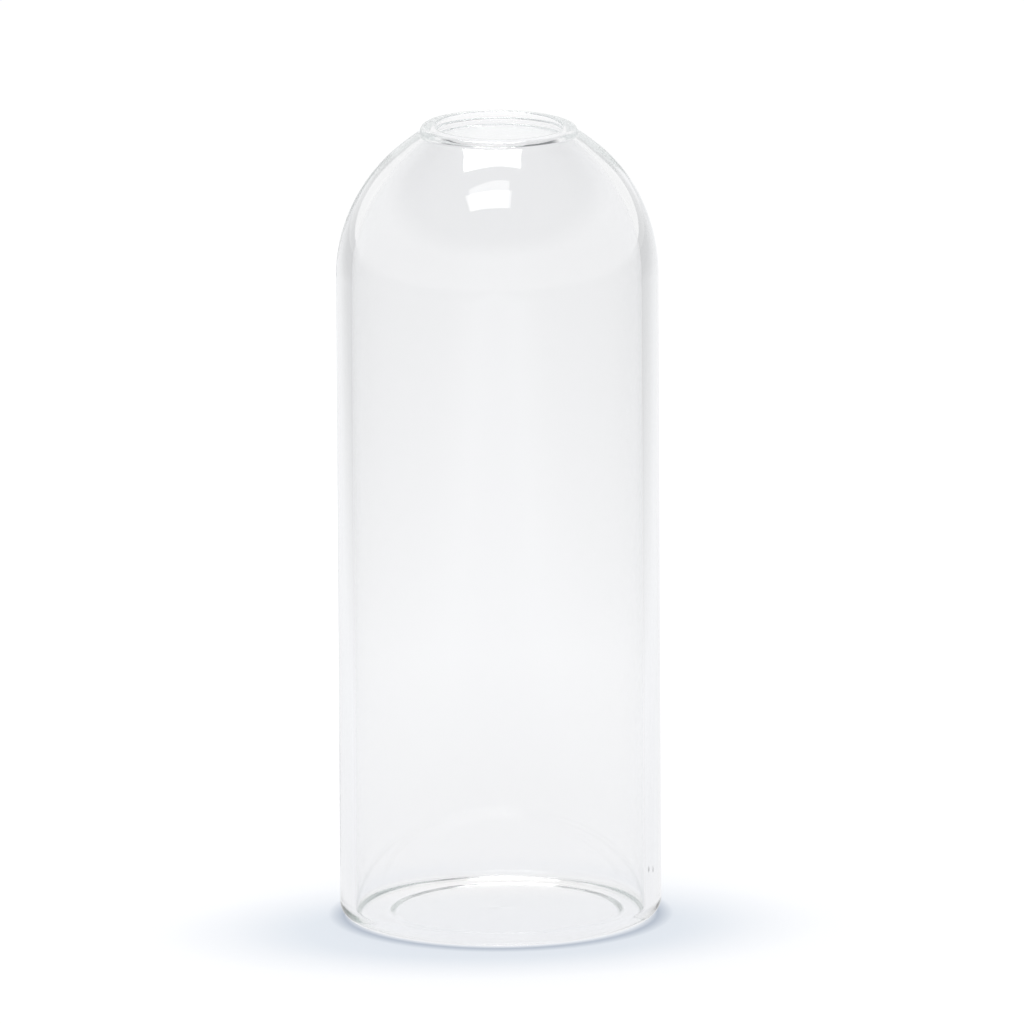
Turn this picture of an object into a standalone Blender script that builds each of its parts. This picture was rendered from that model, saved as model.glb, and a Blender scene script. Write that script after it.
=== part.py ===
"""Glass cloche with an open neck: one blown vessel, straight sides, a domed shoulder and a closed floor.

The whole object is a single body of clear glass, so it is one named part. Every surface is a surface of
revolution about +Z. The standing ring rests on z = 0 and the lip is the highest edge.
"""

import math

import bmesh
import bpy

MM = 0.001

# Driving dimensions.
BODY_RADIUS = 40.0 * MM  # outside of the straight wall
HEIGHT = 200.0 * MM  # table to the top of the lip
WALL = 3.9 * MM  # glass thickness of the side and the shoulder
FLOOR = 1.6 * MM  # glass thickness of the floor

# The shoulder is a quarter ellipse, a touch taller than it is wide.
SHOULDER_BASE = 162.2 * MM  # where the straight wall ends
SHOULDER_RISE = 40.7 * MM  # full height of the ellipse that the neck cuts off

# The lip is a round fire-polished bead.
LIP_RADIUS = 1.5 * MM  # half the bead's thickness
MOUTH_RADIUS = 16.0 * MM  # clear opening inside the bead

# The foot: a rounded heel, a flat standing ring and a floor that is pushed up a little in the middle.
HEEL_RADIUS = 3.6 * MM  # outside corner
FILLET_RADIUS = 1.5 * MM  # inside corner
RING_INNER = 31.0 * MM  # inner edge of the flat standing ring
PUSH_UP = 0.8 * MM  # rise of the floor's centre

# How finely the round stretches are cut.
SECTORS = 64  # around the axis
STEPS_SHOULDER = 12
STEPS_BEAD = 10
STEPS_CORNER = 5
STEPS_FLOOR = 4

GLASS_TINT = (0.90, 0.95, 0.93, 1.0)
GLASS_IOR = 1.47
GLASS_ROUGHNESS = 0.02


def arc(centre, radii, start, end, steps):
    """Points on an ellipse arc, from start to end in degrees, both ends included."""
    points = []
    for i in range(steps + 1):
        angle = math.radians(start + (end - start) * i / steps)
        r = centre[0] + radii[0] * math.cos(angle)
        z = centre[1] + radii[1] * math.sin(angle)
        points.append((r, z))
    return points


def floor_rise(radius):
    """How far the floor is pushed up at this radius, in a smooth swell that is level at both ends."""
    if radius >= RING_INNER:
        return 0.0
    return PUSH_UP * 0.5 * (1.0 + math.cos(math.pi * radius / RING_INNER))


def floor_line(height):
    """The floor from its centre out to the standing ring, at a height above the underside."""
    points = []
    for i in range(STEPS_FLOOR + 1):
        radius = RING_INNER * i / STEPS_FLOOR
        points.append((radius, height + floor_rise(radius)))
    return points


def ellipse_angle(radius, half_width):
    """The angle on the shoulder's ellipse, in degrees, where it has this radius."""
    return math.degrees(math.acos(radius / half_width))


def outer_line():
    """Underside centre, heel, side wall and shoulder, up to where the bead begins."""
    heel_centre = (BODY_RADIUS - HEEL_RADIUS, HEEL_RADIUS)
    shoulder_centre = (0.0, SHOULDER_BASE)
    neck_radius = MOUTH_RADIUS + 2.0 * LIP_RADIUS + 0.9 * MM
    neck_angle = ellipse_angle(neck_radius, BODY_RADIUS)
    points = floor_line(0.0)
    points += arc(heel_centre, (HEEL_RADIUS, HEEL_RADIUS), -90.0, 0.0, STEPS_CORNER)
    points += arc(shoulder_centre, (BODY_RADIUS, SHOULDER_RISE), 0.0, neck_angle, STEPS_SHOULDER)
    return points


def bead_line():
    """The lip, over the top from its outside to the mouth."""
    centre = (MOUTH_RADIUS + LIP_RADIUS, HEIGHT - LIP_RADIUS)
    return arc(centre, (LIP_RADIUS, LIP_RADIUS), -15.0, 195.0, STEPS_BEAD)


def inner_line():
    """Inside of the shoulder, the side wall and the floor, down to the floor's centre."""
    inner_radius = BODY_RADIUS - WALL
    inner_rise = SHOULDER_RISE - WALL
    neck_angle = ellipse_angle(MOUTH_RADIUS + 0.7 * MM, inner_radius)
    fillet_centre = (inner_radius - FILLET_RADIUS, FLOOR + FILLET_RADIUS)
    points = arc((0.0, SHOULDER_BASE), (inner_radius, inner_rise), neck_angle, 0.0, STEPS_SHOULDER)
    points += arc(fillet_centre, (FILLET_RADIUS, FILLET_RADIUS), 0.0, -90.0, STEPS_CORNER)
    points += reversed(floor_line(FLOOR))
    return points


def ring_of(bm, radius, z):
    """One ring of vertices, or a single vertex on the axis."""
    if radius < 1e-9:
        return [bm.verts.new((0.0, 0.0, z))]
    ring = []
    for i in range(SECTORS):
        angle = 2.0 * math.pi * i / SECTORS
        ring.append(bm.verts.new((radius * math.cos(angle), radius * math.sin(angle), z)))
    return ring


def join_rings(bm, low, high):
    """Faces between two neighbouring rings, facing out for a profile that runs up the outside."""
    for i in range(SECTORS):
        j = (i + 1) % SECTORS
        if len(low) == 1:
            bm.faces.new((low[0], high[j], high[i]))
        elif len(high) == 1:
            bm.faces.new((low[i], low[j], high[0]))
        else:
            bm.faces.new((low[i], low[j], high[j], high[i]))


def revolve(name, line, material):
    """A closed body of revolution whose line starts and ends on the axis."""
    bm = bmesh.new()
    rings = [ring_of(bm, radius, z) for radius, z in line]
    for low, high in zip(rings[:-1], rings[1:]):
        join_rings(bm, low, high)
    mesh = bpy.data.meshes.new(name)
    bm.to_mesh(mesh)
    bm.free()
    for face in mesh.polygons:
        face.use_smooth = True
    mesh.materials.append(material)
    part = bpy.data.objects.new(name, mesh)
    bpy.context.scene.collection.objects.link(part)
    return part


def glass_material():
    """Clear borosilicate with a trace of green."""
    material = bpy.data.materials.new("glass")
    material.use_nodes = True
    shader = material.node_tree.nodes["Principled BSDF"]
    shader.inputs["Base Color"].default_value = GLASS_TINT
    shader.inputs["Roughness"].default_value = GLASS_ROUGHNESS
    shader.inputs["IOR"].default_value = GLASS_IOR
    shader.inputs["Transmission Weight"].default_value = 1.0
    return material


for leftover in list(bpy.data.objects):
    bpy.data.objects.remove(leftover, do_unlink=True)

revolve("glass_vessel", outer_line() + bead_line() + inner_line(), glass_material())
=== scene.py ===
"""Glass cloche on a white table: one clear blown vessel for the CAD node, studio light and camera."""

import math

import bpy
import numpy as np
from mathutils import Matrix, Vector


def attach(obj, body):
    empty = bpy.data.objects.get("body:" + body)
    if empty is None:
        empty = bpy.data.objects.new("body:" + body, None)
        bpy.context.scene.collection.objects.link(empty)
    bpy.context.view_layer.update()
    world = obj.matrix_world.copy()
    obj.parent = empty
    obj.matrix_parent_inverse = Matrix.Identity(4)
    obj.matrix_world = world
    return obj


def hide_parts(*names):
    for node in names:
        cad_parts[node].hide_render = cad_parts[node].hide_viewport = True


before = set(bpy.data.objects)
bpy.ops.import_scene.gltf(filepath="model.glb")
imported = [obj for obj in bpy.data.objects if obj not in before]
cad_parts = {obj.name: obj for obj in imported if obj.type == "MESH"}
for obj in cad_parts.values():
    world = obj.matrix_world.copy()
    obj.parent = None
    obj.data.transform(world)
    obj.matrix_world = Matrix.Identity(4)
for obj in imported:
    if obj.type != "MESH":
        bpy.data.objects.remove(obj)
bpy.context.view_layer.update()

MM = 0.001

# ---------------------------------------------------------------- the vessel's dimensions, in millimetres
# Hand work leaves the two sides a little different. A pair gives the left side (-X) and the right side (+X),
# unless its own comment says otherwise.
BODY_R = 39.92  # outside of the wall
HEIGHT = 200.0
WALL = (3.9, 4.1)
SHOULDER_Z = 162.2  # the straight wall ends here
SHOULDER_RISE = 40.7  # full height of the shoulder's ellipse, which the neck cuts off
NECK_WALL = 2.2  # the shell thins to this at the neck
NECK_ANGLE = 63.0  # where on the ellipse the neck is, in degrees
NECK_POWER = 5.0  # high, so the shell is even until shortly before the neck
FLARE = 0.2  # at the lip the shoulder is this much above its ellipse
FLARE_R = (24.5, 19.3)  # the flare starts at the first radius and is full at the second

MOUTH_R = 15.8
LIP_W = (3.8, 3.75)  # the rim's thickness
LIP_INNER_R = 0.35  # rounding of the rim's inner edge
LIP_OUTER_R = 1.5  # rounding of its outer edge
LIP_FALL = 0.1  # the rim's top falls this much to the outside
LIP_SLOPE = 2.9  # the same fall as an angle, in degrees
LIP_TILT = (-0.2, 0.3)  # how much the lip rises from its middle to the right, and to the back
LIP_DROP = math.hypot(*LIP_TILT)  # the middle of the lip's plane is this much below its highest point
LIP_FOOT = 8.0  # where on its rounding the rim's outer side meets the shoulder, in degrees
LEAN = (0.6, 0.8)  # the lip sits this far to the right of the wall's axis, and this far behind it
THROAT_R = 1.2  # rounding under the rim's inner side
THROAT_TURN = 64.0  # how far that rounding turns, in degrees
THROAT_OUT = 1.2  # the shell's outer face, where the throat begins, is this much wider than the mouth
JOIN = 0.05  # the mouth's straight stretch stops this far from the roundings above and below it

HEEL_R = (3.3, 4.2)
FLOOR_T = (1.3, 1.7)
FLOOR_EDGE = 6.0  # the floor is level from this far inside the wall's outer face
FILLET_R = 1.2  # the rounding between the wall and the floor is higher than it is wide
FILLET_H = 2.6
FLOOR_BLEND = 0.75  # from this share of its radius the floor bends to meet the fillet's end
SWELL = 0.5  # rise of the whole floor towards its middle
RING_RISE = 0.3  # the underside steps up by this inside the ring that it stands on
RING_FROM = (27.6, 30.6)  # the step starts at this radius
RING_TO = (26.0, 29.0)  # and ends at this one

# A seed: a tiny stretched bubble in the wall, low on the right.
SEED_AT = (36.0, -10.0, 13.2)
SEED_R = (0.3, 0.3, 0.8)

# The glass: nearly white, with a faint grey-green in depth.
GLASS_COLOUR = (0.930, 0.932, 0.938, 1.0)
GLASS_IOR = 1.47
DEPTH_COLOUR = (0.67, 0.75, 0.71, 1.0)
DEPTH_DENSITY = 1.3

# How finely each stretch of the section is cut.
UNDERSIDE_STEPS = 60
CORNER_STEPS = 20  # the heel and the fillet
WALL_STEPS = 20
SHOULDER_STEPS = 50
RIM_STEPS = 14
MOUTH_STEPS = 8
THROAT_STEPS = 10
FLOOR_STEPS = 44
SAME_POINT = 1e-4  # rows closer than this are one row

SECTORS = 288
TURN = np.linspace(0.0, 2 * np.pi, SECTORS, endpoint=False)
SIDE = np.cos(TURN)  # from -1 on the left to 1 on the right
BACK = np.sin(TURN)  # from -1 at the front to 1 at the back


def across(pair):
    """A value for every azimuth, from the left side's to the right side's."""
    return (pair[0] + pair[1]) / 2 + (pair[1] - pair[0]) / 2 * SIDE


def ease(t):
    """A smooth step from 0 to 1 while t goes from 0 to 1."""
    t = np.clip(t, 0.0, 1.0)
    return t * t * (3.0 - 2.0 * t)


def rows(first, last, steps):
    """Steps + 1 rows that go evenly from the first value to the last."""
    t = np.linspace(0.0, 1.0, steps + 1)[:, None]
    return first * (1.0 - t) + last * t + 0.0 * SIDE


def arc(centre, radii, start, end, steps):
    """An ellipse arc, one row of points for each step. Angles in degrees."""
    angles = np.radians(rows(start, end, steps))
    return centre[0] + radii[0] * np.cos(angles), centre[1] + radii[1] * np.sin(angles)


def swell(r):
    """How far the floor is pushed up at a radius: half a cosine wave."""
    return SWELL * 0.5 * (1.0 + np.cos(np.pi * np.clip(r / (BODY_R - FLOOR_EDGE), 0.0, 1.0)))


def underside(r):
    """Height of the underside: a standing ring, a step up, then parallel to the floor above it."""
    start, end = across(RING_FROM), across(RING_TO)
    return RING_RISE * ease((start - r) / (start - end)) + np.where(r < start, swell(r) - swell(start), 0.0)


def floor_top(r):
    """Height of the floor's upper face, which is a little thicker on the right."""
    middle, tilt = sum(FLOOR_T) / 2, (FLOOR_T[1] - FLOOR_T[0]) / 2
    return middle + tilt * SIDE * r / BODY_R + swell(r)


def shell_inside(angle):
    """A point on the shoulder's inner face, straight in from the outer face at this ellipse angle."""
    turn = np.radians(angle)
    along_r, along_z = np.cos(turn) / BODY_R, np.sin(turn) / SHOULDER_RISE
    length = np.hypot(along_r, along_z)
    thick = across(WALL) + (NECK_WALL - across(WALL)) * (angle / NECK_ANGLE) ** NECK_POWER
    r = BODY_R * np.cos(turn) - thick * along_r / length
    return r, SHOULDER_Z + SHOULDER_RISE * np.sin(turn) - thick * along_z / length


def outer_rows():
    """From the underside's centre out to the heel, up the wall and the shoulder to the rim's foot."""
    heel_r = across(HEEL_R)
    r = rows(0.0, BODY_R - heel_r, UNDERSIDE_STEPS)
    yield r, underside(r)
    yield arc((BODY_R - heel_r, heel_r), (heel_r, heel_r), -90, 0, CORNER_STEPS)
    yield rows(BODY_R, BODY_R, WALL_STEPS), rows(heel_r, SHOULDER_Z, WALL_STEPS)
    foot = np.degrees(np.arccos((MOUTH_R + across(LIP_W)) / BODY_R))
    r, z = arc((0.0, SHOULDER_Z), (BODY_R, SHOULDER_RISE), 0, foot, SHOULDER_STEPS)
    yield r, z + FLARE * ease((FLARE_R[0] - r) / (FLARE_R[0] - FLARE_R[1]))


def lip_rows(throat_angle):
    """The rim: up its rounded outer side, over the nearly flat top and down into the throat."""
    top = HEIGHT - LIP_DROP + LIP_TILT[0] * SIDE + LIP_TILT[1] * BACK
    outer_centre = (MOUTH_R + across(LIP_W) - LIP_OUTER_R, top - LIP_FALL - LIP_OUTER_R)
    yield arc(outer_centre, (LIP_OUTER_R, LIP_OUTER_R), LIP_FOOT, 90 - LIP_SLOPE, RIM_STEPS)
    inner_centre = (MOUTH_R + LIP_INNER_R, top - LIP_INNER_R)
    yield arc(inner_centre, (LIP_INNER_R, LIP_INNER_R), 90 - LIP_SLOPE, 180, RIM_STEPS)
    throat_r, throat_z = shell_inside(throat_angle)
    turn = math.radians(THROAT_TURN)
    centre = (throat_r + THROAT_R * math.cos(turn), throat_z + THROAT_R * math.sin(turn))
    mouth_z = rows(inner_centre[1] - JOIN, centre[1] + JOIN, MOUTH_STEPS)
    yield rows(MOUTH_R, MOUTH_R, MOUTH_STEPS), mouth_z
    yield arc(centre, (THROAT_R, THROAT_R), 180, 180 + THROAT_TURN, THROAT_STEPS)


def inner_rows(throat_angle):
    """Down the inside of the shoulder and the wall, through the fillet and in along the floor."""
    yield shell_inside(rows(throat_angle, 0.0, SHOULDER_STEPS))
    inner_r = BODY_R - across(WALL)
    foot = floor_top(BODY_R - FLOOR_EDGE) + FILLET_H
    yield rows(inner_r, inner_r, WALL_STEPS), rows(SHOULDER_Z, foot, WALL_STEPS)
    corner_r = inner_r - FILLET_R
    yield arc((corner_r, foot), (FILLET_R, FILLET_H), 0, -90, CORNER_STEPS)
    r = rows(corner_r, 0.0, FLOOR_STEPS)
    z = floor_top(r)
    bend = ease((r / corner_r - FLOOR_BLEND) / (1.0 - FLOOR_BLEND))
    yield r, z + (foot - FILLET_H - z[0]) * bend


def section():
    """The whole closed section, from the underside's centre to the floor's centre, one row per turn."""
    throat_angle = math.degrees(math.acos((MOUTH_R + THROAT_OUT) / BODY_R))
    runs = (*outer_rows(), *lip_rows(throat_angle), *inner_rows(throat_angle))
    r, z = (np.vstack(part) for part in zip(*runs))
    repeated = np.zeros(len(r), bool)
    repeated[1:] = (np.hypot(np.diff(r, axis=0), np.diff(z, axis=0)) < SAME_POINT).all(axis=1)
    return r[~repeated], z[~repeated]


def seed_bubble(first, around=16, rings=9):
    """Points and faces of the bubble, its faces turned inwards, away from the glass."""
    points = [(0.0, 0.0, -1.0)]
    for k in range(1, rings):
        up = math.pi * (k / rings - 0.5)
        for i in range(around):
            a = 2 * math.pi * i / around
            points.append((math.cos(up) * math.cos(a), math.cos(up) * math.sin(a), math.sin(up)))
    points.append((0.0, 0.0, 1.0))
    points = np.array(points) * SEED_R + SEED_AT
    last = first + len(points) - 1
    faces = []
    for i in range(around):
        j = (i + 1) % around
        faces.append((first, first + 1 + i, first + 1 + j))
        for k in range(rings - 2):
            low, high = first + 1 + k * around, first + 1 + (k + 1) * around
            faces.append((low + i, high + i, high + j, low + j))
        high = first + 1 + (rings - 2) * around
        faces.append((high + i, last, high + j))
    return points, faces


def body(name, material):
    """The closed body: every row of points is one turn round the axis."""
    r, z = section()
    first_z, last_z = z[0, 0], z[-1, 0]
    r, z = r[1:-1], z[1:-1]
    lean = ease((z - SHOULDER_Z) / (HEIGHT - SHOULDER_Z))
    x, y = r * SIDE + LEAN[0] * lean, r * BACK + LEAN[1] * lean
    xyz = np.column_stack([x.ravel(), y.ravel(), z.ravel()])
    first, last = len(xyz), len(xyz) + 1
    xyz = np.vstack([xyz, [0, 0, first_z], [0, 0, last_z]])
    i = np.arange(SECTORS)
    j = (i + 1) % SECTORS
    faces = []
    for k in range(len(r) - 1):
        low, high = k * SECTORS, (k + 1) * SECTORS
        faces += np.column_stack([low + i, low + j, high + j, high + i]).tolist()
    faces += [(first, int(b), int(a)) for a, b in zip(i, j)]
    top = (len(r) - 1) * SECTORS
    faces += [(int(top + a), int(top + b), last) for a, b in zip(i, j)]
    bubble, bubble_faces = seed_bubble(len(xyz))
    mesh = bpy.data.meshes.new(name)
    mesh.from_pydata((np.vstack([xyz, bubble]) * MM).tolist(), [], faces + bubble_faces)
    mesh.update()
    mesh.shade_smooth()
    mesh.materials.append(material)
    piece = bpy.data.objects.new(name, mesh)
    bpy.context.scene.collection.objects.link(piece)
    return piece


def glass_material():
    """Clear and smooth, faintly grey-green where light runs a long way inside the glass."""
    material = bpy.data.materials.new("glass")
    material.use_nodes = True
    nodes, links = material.node_tree.nodes, material.node_tree.links
    shader = nodes["Principled BSDF"]
    shader.inputs["Base Color"].default_value = GLASS_COLOUR
    shader.inputs["Roughness"].default_value = 0.0
    shader.inputs["IOR"].default_value = GLASS_IOR
    shader.inputs["Transmission Weight"].default_value = 1.0
    tint = nodes.new("ShaderNodeVolumeAbsorption")
    tint.inputs["Color"].default_value = DEPTH_COLOUR
    tint.inputs["Density"].default_value = DEPTH_DENSITY
    links.new(tint.outputs["Volume"], nodes["Material Output"].inputs["Volume"])
    return material


vessel = body("glass_body", glass_material())
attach(vessel, "root")
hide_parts("glass_vessel")

# ---------------------------------------------------------------- studio
TABLE_GAP = 0.12 * MM  # the ring stands on the table's grain, so the two faces never coincide
TABLE_SIZE = 60.0
# Painted light: how bright the table glows, though it is no lamp, by distance from the axis in metres:
# overexposed, as a lit sweep is, a little dimmer close to the vessel.
TABLE_PAINTED_LIGHT = (
    (0.000, (0.96, 0.965, 0.975)),
    (0.050, (0.96, 0.965, 0.975)),
    (0.070, (0.985, 0.985, 0.99)),
    (0.140, (0.99, 0.99, 0.99)),
    (0.300, (1.04, 1.04, 1.04)),
    (0.450, (1.02, 1.02, 1.02)),
    (0.800, (0.98, 0.98, 0.98)),
)
# A soft cool shadow painted on the table where the vessel would cast it, by distance from the shade's own
# centre. It is wider than deep.
SHADE = (
    (0.000, (0.74, 0.78, 0.84)),
    (0.032, (0.77, 0.81, 0.86)),
    (0.044, (0.88, 0.90, 0.93)),
    (0.055, (0.955, 0.965, 0.98)),
    (0.080, (1.0, 1.0, 1.0)),
)
SHADE_CENTRE = (-0.002, -0.017)
SHADE_TURN = math.radians(7.0)
SHADE_WIDER = 1.5
# A painted contact shadow along the line under the heel, by distance from the axis. Further in, painted
# light, where light would come through the floor.
CONTACT_PAINTED_SHADOW_AND_LIGHT = (
    (0.0355, (1.37, 1.31, 1.24)),
    (0.0365, (0.55, 0.58, 0.63)),
    (0.0405, (0.66, 0.69, 0.74)),
    (0.0430, (1.0, 1.0, 1.0)),
)
# A painted reflection: how bright the table shows only to light that the glass has mirrored, by distance to
# either side: a long sweep, the dim room beside it.
TABLE_PAINTED_REFLECTION = (
    (0.070, (0.93, 0.935, 0.95)),
    (0.200, (0.98, 0.985, 1.0)),
    (0.310, (0.89, 0.895, 0.90)),
    (0.440, (0.78, 0.785, 0.79)),
    (0.700, (0.70, 0.705, 0.71)),
)
TABLE_LIT = 0.06  # how much lamp light the table returns on top of its glow
# The room, by the height of the direction looked in: white round the horizon, a dark ceiling.
ROOM = (
    (0.42, (1.0, 1.0, 1.0)),
    (0.62, (0.23, 0.24, 0.25)),
)
LAMP_COLOUR = (1.0, 0.985, 0.96)
# Name, centre and size in metres, power in watts.
SOFTBOXES = (
    ("softbox_back", (-0.055, 0.28, 1.0), (0.47, 0.56), 5.3),
    ("softbox_front", (-0.10, -0.40, 1.0), (0.45, 0.23), 1.2),
)


def stops(tree, distance, places):
    """A colour that follows a list of (distance, colour) stops."""
    node = tree.nodes.new("ShaderNodeValToRGB")
    elements = node.color_ramp.elements
    while len(elements) < len(places):
        elements.new(0.5)
    for element, (place, colour) in zip(elements, places):
        element.position = place
        element.color = (*colour, 1.0)
    tree.links.new(distance, node.inputs["Fac"])
    return node.outputs["Color"]


def distance_of(tree, place):
    """Length of a position, which is the distance from its origin."""
    node = tree.nodes.new("ShaderNodeVectorMath")
    node.operation = "LENGTH"
    tree.links.new(place, node.inputs[0])
    return node.outputs["Value"]


def product(tree, first, second):
    """Two colours multiplied."""
    node = tree.nodes.new("ShaderNodeVectorMath")
    node.operation = "MULTIPLY"
    tree.links.new(first, node.inputs[0])
    tree.links.new(second, node.inputs[1])
    return node.outputs["Vector"]


def sideways(tree, place):
    """Distance to the left or the right of the vessel."""
    split = tree.nodes.new("ShaderNodeSeparateXYZ")
    tree.links.new(place, split.inputs[0])
    side = tree.nodes.new("ShaderNodeMath")
    side.operation = "ABSOLUTE"
    tree.links.new(split.outputs["X"], side.inputs[0])
    return side.outputs[0]


def after_a_mirror(tree):
    """1 for light that a glossy face or the inside of the glass has mirrored on its way, otherwise 0."""
    node = tree.nodes.new("ShaderNodeMath")
    node.operation = "GREATER_THAN"
    tree.links.new(tree.nodes.new("ShaderNodeLightPath").outputs["Glossy Depth"], node.inputs[0])
    node.inputs[1].default_value = 0.5
    return node.outputs[0]


def shade_place(tree, place):
    """The position in the shade's own oval."""
    oval = tree.nodes.new("ShaderNodeMapping")
    oval.vector_type = "TEXTURE"
    oval.inputs["Location"].default_value = (*SHADE_CENTRE, -TABLE_GAP)
    oval.inputs["Rotation"].default_value = (0.0, 0.0, SHADE_TURN)
    oval.inputs["Scale"].default_value = (SHADE_WIDER, 1.0, 1.0)
    tree.links.new(place, oval.inputs["Vector"])
    return oval.outputs["Vector"]


def table():
    """A white table, as wide as the eye reaches: its glow holds painted light, a painted shadow round the
    vessel and a painted contact shadow, and mirrored light sees a painted reflection on it.
    """
    bpy.ops.mesh.primitive_plane_add(size=TABLE_SIZE, location=(0, 0, -TABLE_GAP))
    plane = bpy.context.object
    plane.name = "table"
    material = bpy.data.materials.new("table")
    material.use_nodes = True
    tree = material.node_tree
    shader = tree.nodes["Principled BSDF"]
    shader.inputs["Base Color"].default_value = (TABLE_LIT, TABLE_LIT, TABLE_LIT, 1.0)
    shader.inputs["Roughness"].default_value = 1.0
    shader.inputs["Specular IOR Level"].default_value = 0.0
    shader.inputs["Emission Strength"].default_value = 1.0
    place = tree.nodes.new("ShaderNodeNewGeometry").outputs["Position"]
    distance = distance_of(tree, place)
    from_shade = distance_of(tree, shade_place(tree, place))
    # painted light, the painted shadow round the vessel and the painted contact shadow, multiplied into the
    # table's glow
    painted_light_and_shade = product(tree, stops(tree, distance, TABLE_PAINTED_LIGHT), stops(tree, from_shade, SHADE))
    painted_light_and_shade = product(tree, painted_light_and_shade, stops(tree, distance, CONTACT_PAINTED_SHADOW_AND_LIGHT))
    tree.links.new(painted_light_and_shade, shader.inputs["Emission Color"])
    # a painted reflection: what the table shows to light that the glass has mirrored on its way
    painted_reflection = tree.nodes.new("ShaderNodeEmission")
    tree.links.new(stops(tree, sideways(tree, place), TABLE_PAINTED_REFLECTION), painted_reflection.inputs["Color"])
    mix = tree.nodes.new("ShaderNodeMixShader")
    tree.links.new(after_a_mirror(tree), mix.inputs[0])
    tree.links.new(shader.outputs[0], mix.inputs[1])
    tree.links.new(painted_reflection.outputs[0], mix.inputs[2])
    tree.links.new(mix.outputs[0], tree.nodes["Material Output"].inputs["Surface"])
    plane.data.materials.append(material)


def softbox(name, centre, size, power):
    """An overhead rectangular light that faces straight down."""
    lamp = bpy.data.lights.new(name, "AREA")
    lamp.shape = "RECTANGLE"
    lamp.size, lamp.size_y = size
    lamp.energy = power
    lamp.color = LAMP_COLOUR
    holder = bpy.data.objects.new(name, lamp)
    holder.location = centre
    bpy.context.scene.collection.objects.link(holder)


def room():
    """White round the horizon, a dark ceiling above the softboxes."""
    world = bpy.data.worlds.new("room")
    bpy.context.scene.world = world
    world.use_nodes = True
    tree = world.node_tree
    split = tree.nodes.new("ShaderNodeSeparateXYZ")
    tree.links.new(tree.nodes.new("ShaderNodeTexCoord").outputs["Generated"], split.inputs[0])
    tree.links.new(stops(tree, split.outputs["Z"], ROOM), tree.nodes["Background"].inputs["Color"])


table()
room()
for softbox_values in SOFTBOXES:
    softbox(*softbox_values)

# ---------------------------------------------------------------- camera
LENS = 1000.0  # a long lens, so the view is almost parallel
SENSOR = 36.0
VIEW_SIDE = 253.937  # side of the square that is in view at the vessel's axis
TARGET = Vector((3.3156, 0.0, 101.9427))  # the point that is in the middle of the view
ELEVATION = math.radians(12.2)
ROLL = math.radians(0.3166)

view_dir = Vector((0.0, -math.cos(ELEVATION), math.sin(ELEVATION)))
camera_distance = VIEW_SIDE * LENS / SENSOR
camera_data = bpy.data.cameras.new("camera")
camera_data.lens = LENS
camera_data.sensor_width = SENSOR
camera_data.clip_start = 0.1
camera_data.clip_end = 60.0
camera = bpy.data.objects.new("camera", camera_data)
camera.location = (TARGET + view_dir * camera_distance) * MM
camera.rotation_mode = "QUATERNION"
look = (-view_dir).to_track_quat("-Z", "Y")
camera.rotation_quaternion = look @ Matrix.Rotation(-ROLL, 3, "Z").to_quaternion()
bpy.context.scene.collection.objects.link(camera)
bpy.context.scene.camera = camera
bpy.context.scene.view_settings.view_transform = "Standard"
# Light runs a long way inside the glass floor and the lip before it gets out.
LONG_PATH = 160
bpy.context.scene.cycles.max_bounces = LONG_PATH
bpy.context.scene.cycles.glossy_bounces = LONG_PATH
bpy.context.scene.cycles.transmission_bounces = LONG_PATH
